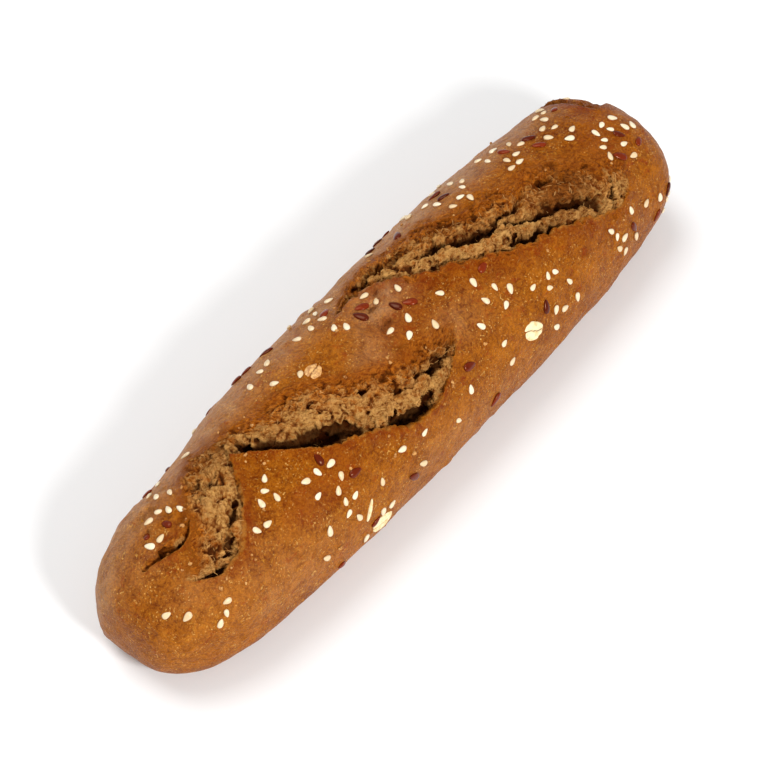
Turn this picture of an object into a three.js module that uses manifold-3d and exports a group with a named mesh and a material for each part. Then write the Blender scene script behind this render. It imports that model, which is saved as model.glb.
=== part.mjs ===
// A short multigrain baguette: one piece of bread, baked on a tray, with slashes that tore open in
// the oven, and with oat flakes, flax seeds and sesame seeds baked onto its crust.
import * as THREE from 'three';
import { mergeVertices } from 'three/addons/utils/BufferGeometryUtils.js';
import Module from 'manifold-3d';

const wasm = await Module();
wasm.setup();

// Sizes are in millimetres. The loaf lies along X, on z = 0.
// A turn is an angle in degrees round its long axis: 0 is the ridge, 90 the side that faces -Y,
// -90 the side that faces +Y, and 180 the underside.
const LENGTH = 252;
const WIDTH = 64;
const HEIGHT = 50;
const BELLY = 21; // height of the widest line
const NEAR_CAP = 32; // length of the rounded end at -X
const FAR_CAP = 20; // length of the blunter end at +X
const CAP_POWER = 4;
const TAPER = 0.3; // how much narrower the loaf gets towards both ends
const LEAN = 0.03; // how much thicker the +X half is
const TOP_POWER = 2.1;
const BASE_POWER = 2.8;
const SOLE_SINK = 1.2; // what the tray flattens off the underside
const GIRTH_RADIUS = 29; // mean radius, which turns millimetres round the loaf into degrees

// Broad swells and hollows of the crust: x, turn, rise, reach along X and reach round the loaf.
const SWELLS = [
  [-80, -64, -2.4, 17, 34],
  [-30, -50, 0.8, 20, 30],
  [30, 10, 0.7, 24, 26],
  [114, 76, 1.8, 9, 30],
  [117, -62, 1.7, 8, 17],
];
const WAVE_RISE = 0.35;
const WAVE_LENGTH = 23;

// The tears. The lip is the sharp raised edge that the crust tore from, the edge is where the torn
// crumb runs out into the crust again: both as x and turn, from the end at -X, point by point.
// The lip's rise is given at both ends and in the middle. A hollow is a dark opening: where it starts
// and ends along the tear, where it lies between the lip (0) and the edge (1) at both of these, its
// half width and its depth, which is negative for a bridge of crumb that stands up.
const TEARS = [
  {
    lip: [
      [-12, -26], [2, -28], [9, -15], [17, -2], [29, 10],
      [45, 26], [60, 35], [75, 48], [86, 57], [95, 54],
    ],
    edge: [
      [-9, -31], [8, -40], [21, -34], [33, -24], [44, -11],
      [56, -4], [68, 1], [79, 11], [90, 30], [98, 44],
    ],
    swell: 1.2,
    lipRise: [1.2, 1.5, 0.6],
    hollows: [
      [0.01, 0.2, 0.04, 0.8, 2.5, 6.8],
      [0.17, 0.29, 0.6, 0.7, 1.7, 4.6],
      [0.3, 0.54, 0.46, 0.49, 2.2, 7.5],
      [0.49, 0.64, 0.55, 0.86, 1.6, 4.5],
      [0.53, 0.7, 0.5, 0.3, 1.2, 4.5],
      [0.65, 0.86, 0.42, 0.26, 1.9, 6.5],
      [0.53, 0.71, 0.18, 0.04, 1.5, 5],
      [0.67, 0.8, 0.91, 0.84, 1, 2.4],
      [0.875, 0.925, 0.02, 0.9, 2, 3.4],
    ],
  },
  {
    lip: [
      [-74, -26], [-70, -8], [-61, 11], [-50, 30], [-41, 38],
      [-32, 47], [-22, 57], [-11, 57], [-3, 51], [5, 42],
    ],
    edge: [
      [-77, -35], [-67, -23], [-58, -11], [-48, -10], [-38, 0],
      [-27, 17], [-16, 28], [-6, 31], [2, 34], [8, 37],
    ],
    swell: 1.8,
    lipRise: [1.4, 2, 0.3],
    hollows: [
      [0.06, 0.17, 0.55, 0.6, 1.6, 3],
      [0.11, 0.53, 0.25, 0.19, 3.1, 7.8],
      [0.56, 0.76, 0.13, 0.15, 2.7, 7.2],
      [0.5, 0.6, 0.03, 0.12, 2.2, -2],
      [0.49, 0.56, 0.58, 0.86, 1.3, 3.2],
      [0.61, 0.83, 0.8, 0.6, 2, 4],
      [0.7, 0.8, 0.93, 0.88, 1.2, 2.8],
      [0.76, 0.98, 0.66, 0.6, 1.8, 3.6],
    ],
  },
  {
    lip: [[-68, -18], [-72, -6], [-78, 10], [-85, 27], [-92, 38], [-100, 41], [-108, 32]],
    edge: [[-75, -38], [-83, -24], [-89, -10], [-94, 6], [-98, 18], [-103, 26], [-109, 28]],
    swell: 0.4,
    lipRise: [1, 1.1, 0.6],
    hollows: [
      [0.04, 0.3, 0.58, 0.45, 1.8, 3],
      [0.2, 0.28, 0.9, 0.86, 1.3, 2.6],
      [0.31, 0.41, 0.84, 0.86, 1.2, 2.6],
      [0.38, 0.54, 0.12, 0.32, 1.7, 4.6],
      [0.54, 0.75, 0.34, 0.26, 1.6, 4.8],
      [0.75, 0.97, 0.24, 0.02, 1.5, 4.8],
    ],
  },
  {
    lip: [[100, -62], [107, -50], [109, -34], [110.5, -20], [112, -7]],
    edge: [[102, -68], [111, -57], [113.5, -40], [114.5, -24], [114.5, -9]],
    swell: 0,
    lipRise: [0.4, 0.4, 0.4],
    hollows: [[0.05, 0.97, 0.5, 0.5, 2.2, 4.8]],
  },
  {
    lip: [[-95, -1], [-99, 6], [-104, 6.5], [-109, 1], [-115, -6]],
    edge: [[-94, -5], [-99, 0], [-102, 1], [-107, -5], [-114, -10]],
    swell: -0.4,
    lipRise: [0, 0, 0],
    hollows: [[0.03, 0.97, 0.5, 0.5, 1.15, 4.3]],
  },
];
const STATION_STEP = 4; // from one section of a tear to the next
const FEWEST_STATIONS = 6;
const MEASURE_STEPS = 40;
const TEAR_COLUMNS = 7;
const OPENING_POWER = 0.5; // how bluntly a tear starts and ends
const HOLLOW_POWER = 0.6; // how bluntly a hollow starts and ends
const HOLLOW_WALL = 3; // how steep a hollow's sides are
const UNDERCUT = 1.8; // how far a hollow runs in under the lip
const LIP_DROP = 1.4; // step from the lip down to crumb that has no hollow
const LIP_DROP_REACH = 0.12; // how far that step runs, as a share of the way to the edge
const LOWEST_LIP = 0.7; // least and most of an uneven lip's rise, as shares
const HIGHEST_LIP = 1.2;
const CRAG = 0.55; // roughness of the torn crumb
const SEAM_DROP = 1.6; // how far the crumb dips where it runs in under the crust
const CRUMB_DEPTH = 13; // how far the crumb piece reaches into the loaf
const TEAR_CLEARANCE = 7; // how far a cut reaches out above the crust
const TRENCH_EXTRA = 1.8; // how much deeper a cut goes than the crumb that fills it
const TRENCH_COLUMNS = 2;

// The roll of crust along a lip: millimetres from the lip line, share of the lip's rise, underside.
const LIP_SECTION = [
  [-7, -0.3, -3],
  [-4, 0.45, -3],
  [-2, 0.85, -3],
  [-0.5, 1, -2.4],
  [0.7, 0.45, -0.9],
];

// Flakes and seeds. Length, width, thickness, how much narrower one tip is, and how deep it is baked in.
const OAT = { length: 8.4, width: 6.2, thick: 1.5, taper: 0.1, sunk: 0.45, sides: 8, bands: 5 };
const BURNT_OAT = { length: 6.4, width: 5.2, thick: 1.5, taper: 0.1, sunk: 0.62, sides: 8, bands: 5 };
const SPLINTER = { length: 7.4, width: 1.3, thick: 1.5, taper: 0, sunk: 0.5, sides: 6, bands: 4 };
const FLAX = { length: 4.8, width: 2.5, thick: 1.2, taper: 0.3, sunk: 0.35, sides: 6, bands: 4 };
const SESAME = { length: 3.1, width: 1.85, thick: 1, taper: 0.34, sunk: 0.3, sides: 6, bands: 3 };

// Single flakes: kind, x, turn, heading in degrees from +X.
const FLAKES = [
  [OAT, 33, 70, -25],
  [OAT, -45, 97, 5],
  [BURNT_OAT, -32, -10, 20],
  [SPLINTER, -50, 78, 58],
];

// Drifts of scattered seeds: x, turn, reach, how many sesame and how many flax seeds.
const DRIFTS = [
  [-108, 50, 14, 5, 0],
  [-97, -14, 12, 7, 2],
  [-86, -55, 13, 4, 2],
  [-78, 24, 9, 6, 0],
  [-56, 46, 9, 8, 2],
  [-60, 86, 14, 5, 2],
  [-34, 72, 14, 6, 1],
  [-34, -40, 14, 6, 3],
  [-8, -34, 11, 9, 3],
  [5, 5, 12, 7, 2],
  [6, 66, 16, 5, 2],
  [28, 32, 7, 5, 1],
  [44, 66, 13, 9, 1],
  [28, -58, 13, 6, 3],
  [54, -40, 11, 10, 2],
  [76, -30, 9, 9, 1],
  [90, 66, 12, 8, 1],
  [97, -22, 12, 8, 3],
  [107, 22, 10, 11, 3],
  [108, -60, 12, 4, 3],
  [112, 86, 10, 5, 2],
  [-70, -95, 22, 4, 2],
  [-15, -92, 24, 5, 2],
  [40, -95, 20, 5, 2],
  [85, -90, 16, 5, 2],
];
const SEED_GAP = 3.4; // least distance between two seeds
const TEAR_GAP = 3; // least distance from a seed to the middle of a tear's section
const END_GAP = 4; // least distance along the loaf from a seed to either end
const TRIES = 30;
const MOST_IN_DRIFT = 12;
const GAP_STATIONS = 72; // sections of a tear that a seed's distance is known from
const GAP_STEPS = 48; // how many of them are tried
const GRAINS = 130; // how many flakes and seeds stand out as solids, largest first

const RINGS = 44; // sections of the loaf
const RING_SIDES = 24;
const SHORTEST_EDGE = 0.3;
const HAIR = 0.03;
const LEAST_AGREEMENT = 0.3; // cosine of the most that a face may turn while slivers are drawn together

const degrees = THREE.MathUtils.degToRad;
const lerp = THREE.MathUtils.lerp;
const clamp = THREE.MathUtils.clamp;

const RANDOM_START = 4459;
const RANDOM_FACTOR = 16807;
const RANDOM_MODULUS = 2147483647;
let drawn = RANDOM_START;
function random() {
  drawn = (drawn * RANDOM_FACTOR) % RANDOM_MODULUS;
  return drawn / RANDOM_MODULUS;
}

// ---- The crust's surface

function radiusAt(x, turn) {
  const along = (2 * x) / LENGTH;
  const cap = x < 0 ? NEAR_CAP : FAR_CAP;
  const intoCap = clamp((Math.abs(x) - (LENGTH / 2 - cap)) / cap, 0, 1);
  const round = (1 - intoCap * intoCap) ** (1 / CAP_POWER);
  const full = 1 + LEAN * along - TAPER * Math.abs(along) ** 3;
  const up = Math.cos(degrees(turn));
  const side = Math.abs(Math.sin(degrees(turn)));
  const halfWidth = (WIDTH / 2) * round * full;
  const halfHeight = up > 0 ? (HEIGHT - BELLY) * round * full : (BELLY + SOLE_SINK) * round;
  const power = up > 0 ? TOP_POWER : BASE_POWER;
  if (round === 0) return 0;
  const radius = ((side / halfWidth) ** power + (Math.abs(up) / halfHeight) ** power) ** (-1 / power);
  let rise = WAVE_RISE * Math.sin(x / WAVE_LENGTH * 2 * Math.PI + 2 * degrees(turn)) * up;
  for (const [middle, middleTurn, height, reach, reachTurn] of SWELLS) {
    const far = ((x - middle) / reach) ** 2 + ((turn - middleTurn) / reachTurn) ** 2;
    rise += height * Math.exp(-far);
  }
  return radius + rise * round;
}

function skin(x, turn) {
  const radius = radiusAt(x, turn);
  const up = radius * Math.cos(degrees(turn));
  return new THREE.Vector3(x, -radius * Math.sin(degrees(turn)), Math.max(BELLY + up, 0));
}

const SLOPE_STEP = 0.5;
function outward(x, turn) {
  const inner = LENGTH / 2 - SLOPE_STEP - 0.01;
  const held = clamp(x, -inner, inner);
  const alongX = skin(held + SLOPE_STEP, turn).sub(skin(held - SLOPE_STEP, turn));
  const round = skin(held, turn + SLOPE_STEP).sub(skin(held, turn - SLOPE_STEP));
  return round.cross(alongX).normalize();
}

function above(x, turn, height) {
  return skin(x, turn).addScaledVector(outward(x, turn), height);
}

// ---- Solids from meshes and back

// Six times the volume inside a closed mesh, negative where its faces point in.
function volume(geometry) {
  const { array } = geometry.index;
  const corner = [0, 1, 2].map(() => new THREE.Vector3());
  let sum = 0;
  for (let i = 0; i < array.length; i += 3) {
    corner.forEach((point, k) => point.fromBufferAttribute(geometry.attributes.position, array[i + k]));
    sum += corner[0].dot(corner[1].cross(corner[2]));
  }
  return sum;
}

function toSolid(geometry) {
  geometry.deleteAttribute('normal');
  geometry.deleteAttribute('uv');
  const merged = mergeVertices(geometry);
  const vertProperties = new Float32Array(merged.attributes.position.array);
  const triVerts = new Uint32Array(merged.index.array);
  if (volume(merged) < 0) triVerts.reverse();
  return new wasm.Manifold(new wasm.Mesh({ numProp: 3, vertProperties, triVerts }));
}

// The largest set of triangles that hang together: a hollow sealed inside is filled by leaving its
// walls out, and a loose scrap goes the same way.
function outerShell(triangles, vertexCount) {
  const parent = Uint32Array.from({ length: vertexCount }, (_, vertex) => vertex);
  const root = (vertex) => {
    while (parent[vertex] !== vertex) vertex = parent[vertex] = parent[parent[vertex]];
    return vertex;
  };
  for (let i = 0; i < triangles.length; i += 3) {
    parent[root(triangles[i + 1])] = root(triangles[i]);
    parent[root(triangles[i + 2])] = root(triangles[i]);
  }
  const sizes = new Uint32Array(vertexCount);
  for (const vertex of triangles) sizes[root(vertex)] += 1;
  const largest = sizes.indexOf(Math.max(...sizes));
  return triangles.filter((_, i) => root(triangles[i - (i % 3)]) === largest);
}

// Draws the ends of every edge shorter than SHORTEST_EDGE together, where the surface stays closed
// and no face turns over. This takes out the slivers that joining and cutting leave.
function withoutSlivers(points, triangles) {
  const faces = [];
  for (let i = 0; i < triangles.length; i += 3) faces.push([...triangles.slice(i, i + 3)]);
  const around = points.map(() => new Set());
  faces.forEach((face, id) => face.forEach((vertex) => around[vertex].add(id)));
  const neighbours = (vertex) => {
    const found = new Set([...around[vertex]].flatMap((id) => faces[id]));
    found.delete(vertex);
    return found;
  };
  const normalOf = (corners) => new THREE.Triangle(...corners).getNormal(new THREE.Vector3());
  const turnsOver = (vertex, other, place) => [...around[vertex]].some((id) => {
    if (faces[id].includes(other)) return false;
    const now = normalOf(faces[id].map((corner) => points[corner]));
    const then = normalOf(faces[id].map((corner) => (corner === vertex ? place : points[corner])));
    return then.lengthSq() === 0 || (now.lengthSq() > 0 && now.dot(then) < LEAST_AGREEMENT);
  });
  const join = (kept, lost, place) => {
    points[kept] = place;
    for (const id of around[lost]) {
      if (faces[id].includes(kept)) {
        faces[id].forEach((vertex) => vertex !== lost && around[vertex].delete(id));
        faces[id] = null;
      } else {
        faces[id] = faces[id].map((vertex) => (vertex === lost ? kept : vertex));
        around[kept].add(id);
      }
    }
    around[lost].clear();
  };
  const tryEdge = (a, b) => {
    const near = neighbours(b);
    const shared = [...neighbours(a)].filter((vertex) => near.has(vertex));
    if (shared.length !== 2) return false;
    const middle = points[a].clone().lerp(points[b], 0.5);
    const place = [middle, points[a], points[b]].find((spot) => (
      !turnsOver(a, b, spot) && !turnsOver(b, a, spot)
    ));
    if (!place) return false;
    join(a, b, place.clone());
    return true;
  };
  let joined = true;
  while (joined) {
    joined = false;
    for (let id = 0; id < faces.length; id++) {
      for (let side = 0; side < 3 && faces[id]; side++) {
        const a = faces[id][side];
        const b = faces[id][(side + 1) % 3];
        if (points[a].distanceTo(points[b]) < SHORTEST_EDGE && tryEdge(a, b)) joined = true;
      }
    }
  }
  return faces.filter(Boolean).flat();
}

// Where two corners of the surface meet in one place, each moves a hair into the bread behind it.
function withoutPinches(points, triangles) {
  const normals = points.map(() => new THREE.Vector3());
  for (let i = 0; i < triangles.length; i += 3) {
    const corners = [0, 1, 2].map((k) => triangles[i + k]);
    const face = new THREE.Triangle(...corners.map((vertex) => points[vertex]));
    const normal = face.getNormal(new THREE.Vector3());
    for (const vertex of corners) normals[vertex].add(normal);
  }
  const places = new Map();
  for (const vertex of new Set(triangles)) {
    const place = points[vertex].toArray().map((value) => value.toFixed(2)).join();
    places.set(place, [...(places.get(place) ?? []), vertex]);
  }
  for (const met of places.values()) {
    if (met.length < 2) continue;
    for (const vertex of met) points[vertex].addScaledVector(normals[vertex].normalize(), -HAIR);
  }
}

function toGeometry(manifold) {
  const mesh = manifold.getMesh();
  const found = new THREE.BufferAttribute(mesh.vertProperties, 3);
  const pointAt = (_, i) => new THREE.Vector3().fromBufferAttribute(found, i);
  const points = Array.from({ length: found.count }, pointAt);
  const triangles = withoutSlivers(points, outerShell(mesh.triVerts, points.length));
  withoutPinches(points, triangles);
  const geometry = indexed(points, triangles);
  geometry.computeVertexNormals();
  return geometry;
}

function indexed(points, triangles) {
  const geometry = new THREE.BufferGeometry().setFromPoints(points);
  geometry.setIndex(triangles);
  return geometry;
}

// The solid between two sheets of points, rows along a tear and columns from its lip to its edge.
function between(upper, lower) {
  const rows = upper.length;
  const columns = upper[0].length;
  const last = rows - 1;
  const outer = columns - 1;
  const top = (row, column) => row * columns + column;
  const bottom = (row, column) => (rows + row) * columns + column;
  const triangles = [];
  const quad = (a, b, c, d) => triangles.push(a, b, c, a, c, d);
  for (let row = 0; row < last; row++) {
    for (let column = 0; column < outer; column++) {
      const next = column + 1;
      quad(top(row, column), top(row + 1, column), top(row + 1, next), top(row, next));
      quad(bottom(row, column), bottom(row, next), bottom(row + 1, next), bottom(row + 1, column));
    }
    quad(top(row, 0), bottom(row, 0), bottom(row + 1, 0), top(row + 1, 0));
    quad(top(row, outer), top(row + 1, outer), bottom(row + 1, outer), bottom(row, outer));
  }
  for (let column = 0; column < outer; column++) {
    const next = column + 1;
    quad(top(0, column), top(0, next), bottom(0, next), bottom(0, column));
    quad(top(last, column), bottom(last, column), bottom(last, next), top(last, next));
  }
  return toSolid(indexed([...upper.flat(), ...lower.flat()], triangles));
}

// ---- The loaf without its tears

function loafSolid() {
  const points = [new THREE.Vector3(-LENGTH / 2, 0, BELLY)];
  for (let ring = 1; ring < RINGS; ring++) {
    const x = (-LENGTH / 2) * Math.cos((ring / RINGS) * Math.PI);
    for (let side = 0; side < RING_SIDES; side++) points.push(skin(x, (side / RING_SIDES) * 360 - 180));
  }
  points.push(new THREE.Vector3(LENGTH / 2, 0, BELLY));
  const last = points.length - 1;
  const at = (ring, side) => 1 + (ring - 1) * RING_SIDES + (side % RING_SIDES);
  const triangles = [];
  for (let side = 0; side < RING_SIDES; side++) {
    triangles.push(0, at(1, side + 1), at(1, side));
    for (let ring = 1; ring < RINGS - 1; ring++) {
      triangles.push(at(ring, side), at(ring, side + 1), at(ring + 1, side + 1));
      triangles.push(at(ring, side), at(ring + 1, side + 1), at(ring + 1, side));
    }
    triangles.push(last, at(RINGS - 1, side), at(RINGS - 1, side + 1));
  }
  return toSolid(indexed(points, triangles));
}

// ---- The tears

// The lip and edge of a tear at a share of its way, as x and turn, and the millimetres between them.
function section(tear, share) {
  const lip = tear.lipLine.getPoint(share);
  const edge = tear.edgeLine.getPoint(share);
  const width = Math.hypot(edge.x - lip.x, degrees(edge.y - lip.y) * GIRTH_RADIUS);
  return { lip, edge, width };
}

function measure(tear) {
  const line = (pairs) => new THREE.SplineCurve(pairs.map(([x, turn]) => new THREE.Vector2(x, turn)));
  tear.lipLine = line(tear.lip);
  tear.edgeLine = line(tear.edge);
  const middles = [];
  for (let step = 0; step <= MEASURE_STEPS; step++) {
    const { lip, edge } = section(tear, step / MEASURE_STEPS);
    const turn = (lip.y + edge.y) / 2;
    middles.push(new THREE.Vector2((lip.x + edge.x) / 2, degrees(turn) * GIRTH_RADIUS));
  }
  let length = 0;
  for (let step = 1; step <= MEASURE_STEPS; step++) {
    length += middles[step].distanceTo(middles[step - 1]);
  }
  tear.rows = Math.max(FEWEST_STATIONS, Math.round(length / STATION_STEP));
}

// A point of a tear's section: across is 0 at the lip and 1 at the edge.
function tearPoint({ lip, edge }, across, height) {
  return above(lerp(lip.x, edge.x, across), lerp(lip.y, edge.y, across), height);
}

const fade = (share) => Math.sin(Math.PI * clamp(share, 0, 1));
const opening = (share) => fade(share) ** OPENING_POWER;

// Height of the torn crumb over the crust's own surface.
function crumbHeight(tear, share, across, width) {
  const inside = clamp(across, 0, 1);
  let height = tear.swell * fade(inside) * opening(share);
  height -= LIP_DROP * Math.exp(-inside / LIP_DROP_REACH) * opening(share);
  for (const [start, end, startAcross, endAcross, reach, depth] of tear.hollows) {
    const way = (share - start) / (end - start);
    const offset = (inside - lerp(startAcross, endAcross, clamp(way, 0, 1))) * width;
    height -= depth * fade(way) ** HOLLOW_POWER * Math.exp(-(Math.abs(offset / reach) ** HOLLOW_WALL));
  }
  return height;
}

function sheet(rows, columns, point) {
  return Array.from({ length: rows + 1 }, (_, row) => (
    Array.from({ length: columns + 1 }, (_, column) => point(row / rows, column))
  ));
}

// How far towards the lip's underside a column of a section lies, as a share of the section.
const sheared = (across, width) => across - ((1 - clamp(across, 0, 1)) * UNDERCUT) / width;

function trench(tear) {
  const columns = TRENCH_COLUMNS;
  const deepest = Math.max(...tear.hollows.map((hollow) => hollow[5]));
  const upper = sheet(tear.rows, columns, (share, column) => (
    tearPoint(section(tear, share), column / columns, TEAR_CLEARANCE)
  ));
  const lower = sheet(tear.rows, columns, (share, column) => {
    const cut = section(tear, share);
    const across = column / columns;
    return tearPoint(cut, sheared(across, cut.width), -deepest * opening(share) - TRENCH_EXTRA);
  });
  return between(upper, lower);
}

function crumb(tear) {
  const columns = TEAR_COLUMNS + 2;
  const acrossAt = (column) => (column - 1) / TEAR_COLUMNS;
  const upper = sheet(tear.rows, columns, (share, column) => {
    const cut = section(tear, share);
    const across = acrossAt(column);
    const outer = across < 0 || across > 1;
    const rough = CRAG * (2 * random() - 1) * fade(share) ** 0.3 * fade(across);
    const height = crumbHeight(tear, share, across, cut.width) + rough - (outer ? SEAM_DROP : 0);
    return tearPoint(cut, sheared(across, cut.width), height);
  });
  const lower = sheet(tear.rows, columns, (share, column) => {
    const cut = section(tear, share);
    return tearPoint(cut, sheared(acrossAt(column), cut.width), -CRUMB_DEPTH);
  });
  return between(upper, lower);
}

function lipRoll(tear) {
  const columns = LIP_SECTION.length - 1;
  const [first, middle, end] = tear.lipRise;
  const uneven = Array.from({ length: tear.rows + 1 }, () => lerp(LOWEST_LIP, HIGHEST_LIP, random()));
  const side = (pick) => sheet(tear.rows, columns, (share, column) => {
    const cut = section(tear, share);
    const [offset, riseShare, underside] = LIP_SECTION[column];
    const full = share < 0.5 ? lerp(first, middle, 2 * share) : lerp(middle, end, 2 * share - 1);
    const rise = full * uneven[Math.round(share * tear.rows)] * opening(share);
    return tearPoint(cut, offset / cut.width, pick === 'top' ? riseShare * rise : underside);
  });
  return between(side('top'), side('bottom'));
}

function isTorn(x, turn) {
  const lastStation = GAP_STATIONS - 1;
  return TEARS.some((tear) => {
    for (let step = 0; step < GAP_STEPS; step++) {
      const station = Math.round((step * lastStation) / (GAP_STEPS - 1));
      const { lip, edge, width } = section(tear, station / lastStation);
      const acrossX = (edge.x - lip.x) / width;
      const acrossTurn = (degrees(edge.y - lip.y) * GIRTH_RADIUS) / width;
      const dx = x - lip.x;
      const dTurn = degrees(turn - lip.y) * GIRTH_RADIUS;
      const run = clamp(dx * acrossX + dTurn * acrossTurn, 0, width);
      if (Math.hypot(dx - run * acrossX, dTurn - run * acrossTurn) < TEAR_GAP) return true;
    }
    return false;
  });
}

// ---- Flakes and seeds

// A flattened drop, its long axis along Y and its flat side facing Z.
function grain({ length, width, thick, taper, sides, bands }) {
  const shape = new THREE.SphereGeometry(1, sides, bands);
  const position = shape.attributes.position;
  for (let i = 0; i < position.count; i++) {
    const along = position.getY(i);
    const girth = 1 - taper * along;
    position.setX(i, position.getX(i) * (width / 2) * girth);
    position.setY(i, (along * length) / 2);
    position.setZ(i, position.getZ(i) * (thick / 2) * girth);
  }
  return shape;
}

function laid(kind, x, turn, heading) {
  const normal = outward(x, turn);
  const alongX = new THREE.Vector3(1, 0, 0).projectOnPlane(normal).normalize();
  const along = alongX.applyAxisAngle(normal, degrees(heading));
  const across = along.clone().cross(normal);
  const place = new THREE.Matrix4().makeBasis(across, along, normal);
  place.setPosition(above(x, turn, kind.thick * (0.5 - kind.sunk)));
  return toSolid(grain(kind).applyMatrix4(place));
}

function scatter() {
  const grains = FLAKES.map(([kind, x, turn, heading]) => ({ kind, x, turn, heading }));
  const crowded = (x, turn) => grains.some((other) => (
    Math.hypot(other.x - x, degrees(other.turn - turn) * GIRTH_RADIUS) < SEED_GAP
  ));
  const drop = (kind, [middle, middleTurn, reach]) => {
    for (let attempt = 0; attempt < TRIES; attempt++) {
      const out = reach * Math.sqrt(random());
      const way = 2 * Math.PI * random();
      const heading = 360 * random();
      const x = middle + out * Math.cos(way);
      const turn = middleTurn + (out * Math.sin(way)) / degrees(GIRTH_RADIUS);
      if (Math.abs(x) < LENGTH / 2 - END_GAP && !crowded(x, turn) && !isTorn(x, turn)) {
        grains.push({ kind, x, turn, heading });
        return;
      }
    }
  };
  for (let turnTaken = 0; turnTaken < MOST_IN_DRIFT; turnTaken++) {
    for (const drift of DRIFTS) if (turnTaken < drift[4]) drop(FLAX, drift);
  }
  for (let turnTaken = 0; turnTaken < MOST_IN_DRIFT; turnTaken++) {
    for (const drift of DRIFTS) if (turnTaken < drift[3]) drop(SESAME, drift);
  }
  return grains.slice(0, GRAINS);
}

// ---- The whole

function baguette() {
  for (const tear of TEARS) measure(tear);
  const grains = scatter();
  let loaf = loafSolid();
  for (const tear of TEARS) loaf = loaf.subtract(trench(tear));
  for (const tear of TEARS) {
    loaf = loaf.add(crumb(tear));
    if (Math.max(...tear.lipRise) > 0) loaf = loaf.add(lipRoll(tear));
  }
  for (const { kind, x, turn, heading } of grains) loaf = loaf.add(laid(kind, x, turn, heading));
  const crust = new THREE.MeshStandardMaterial({ color: 0xa8642c, roughness: 0.62, metalness: 0 });
  const mesh = new THREE.Mesh(toGeometry(loaf), crust);
  mesh.name = 'baguette';
  return mesh;
}

const part = new THREE.Group();
part.add(baguette());

export default part;
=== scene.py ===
"""A short multigrain baguette on a pale floor: the loaf with its torn slashes, and the sesame, flax,
oat flakes, crumbs and threads of crumb on it, all as meshes, with procedural materials."""

import math

import bpy
import numpy as np
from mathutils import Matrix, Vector
from mathutils.bvhtree import BVHTree


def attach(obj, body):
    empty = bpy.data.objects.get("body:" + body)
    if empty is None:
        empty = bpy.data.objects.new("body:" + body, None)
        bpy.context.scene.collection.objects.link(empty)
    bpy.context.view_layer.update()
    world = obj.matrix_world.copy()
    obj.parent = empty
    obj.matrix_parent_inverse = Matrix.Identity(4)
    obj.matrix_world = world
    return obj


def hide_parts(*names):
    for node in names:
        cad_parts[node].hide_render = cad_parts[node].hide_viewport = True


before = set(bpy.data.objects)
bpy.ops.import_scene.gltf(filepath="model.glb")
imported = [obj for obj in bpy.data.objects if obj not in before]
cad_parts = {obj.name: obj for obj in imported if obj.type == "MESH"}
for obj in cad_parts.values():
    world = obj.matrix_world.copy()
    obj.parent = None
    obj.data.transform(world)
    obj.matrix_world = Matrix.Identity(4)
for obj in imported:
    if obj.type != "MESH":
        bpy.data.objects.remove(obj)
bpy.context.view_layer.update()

norm = np.linalg.norm
MM = 0.001  # the sizes below are in millimetres and degrees, and meshes are in metres

# The loaf lies along X on z = 0. A turn is an angle in degrees round its long axis:
# 0 is the ridge, 90 the side that faces -Y, -90 the side that faces +Y, and 180 the underside.
LENGTH = 252.0
WIDTH = 64.0
HEIGHT = 50.0
BELLY = 21.0  # height of the widest line
NEAR_CAP = 32.0  # length of the rounded end at -X
FAR_CAP = 20.0  # length of the blunter end at +X
CAP_POWER = 4.0
TAPER = 0.3  # how much narrower the loaf gets towards both ends
LEAN = 0.03  # how much thicker the +X half is
TOP_POWER = 2.1
BASE_POWER = 2.8
SOLE_SINK = 1.2  # what the tray flattens off the underside
GIRTH_RADIUS = 29.0  # mean radius
TURN_MM = math.radians(GIRTH_RADIUS)  # millimetres of crust in one degree

# Broad swells and hollows of the crust: x, turn, rise, reach along X and reach round the loaf.
SWELLS = [
    (-80, -64, -2.4, 17, 34), (-30, -50, 0.8, 20, 30), (30, 10, 0.7, 24, 26), (114, 76, 1.8, 9, 30),
    (117, -62, 1.7, 8, 17),
]
# Patches: x, turn, reach along X and round the loaf, strength.
BROWNED = [  # crust that is baked darker or paler
    (-3, 8, 22, 26, 0.45), (-122, 4, 9, 26, 0.35), (-109, -6, 13, 20, -0.35), (-100, 34, 14, 16, -0.25),
    (-60, 46, 20, 16, 0.7), (40, 32, 26, 14, 0.25), (101, 16, 16, 32, 0.5), (113, -42, 7, 30, 0.9),
    # the broad pale patch at x -38, turn -52 is painted sheen on the flank facing +Y
    (-38, -52, 90, 30, -0.4), (-112, 86, 26, 26, -1.0), (60, 82, 50, 26, -0.25),
    (-20, 86, 34, 24, -0.6),
]
FLOURED = [  # crust that flour dulls
    (0, -11, 12, 14, 0.75), (7, 30, 9, 10, 0.25), (-114, -8, 13, 16, 0.3), (-17, 10, 9, 12, 0.35),
    (-103, 38, 15, 17, 0.25), (-88, 74, 24, 22, 0.25), (18, 36, 14, 14, 0.12), (-8, 88, 40, 16, 0.25),
]
TOASTED = [  # crumb that is toasted brown
    (75, 22, 15, 15, 1.2), (40, -14, 9, 7, 0.5), (2, 38, 9, 6, 0.6), (-74, -26, 9, 14, 0.6),
    (108, -45, 14, 34, 1.0),
]
WAVE_RISE = 0.35
WAVE_LENGTH = 23.0

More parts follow.
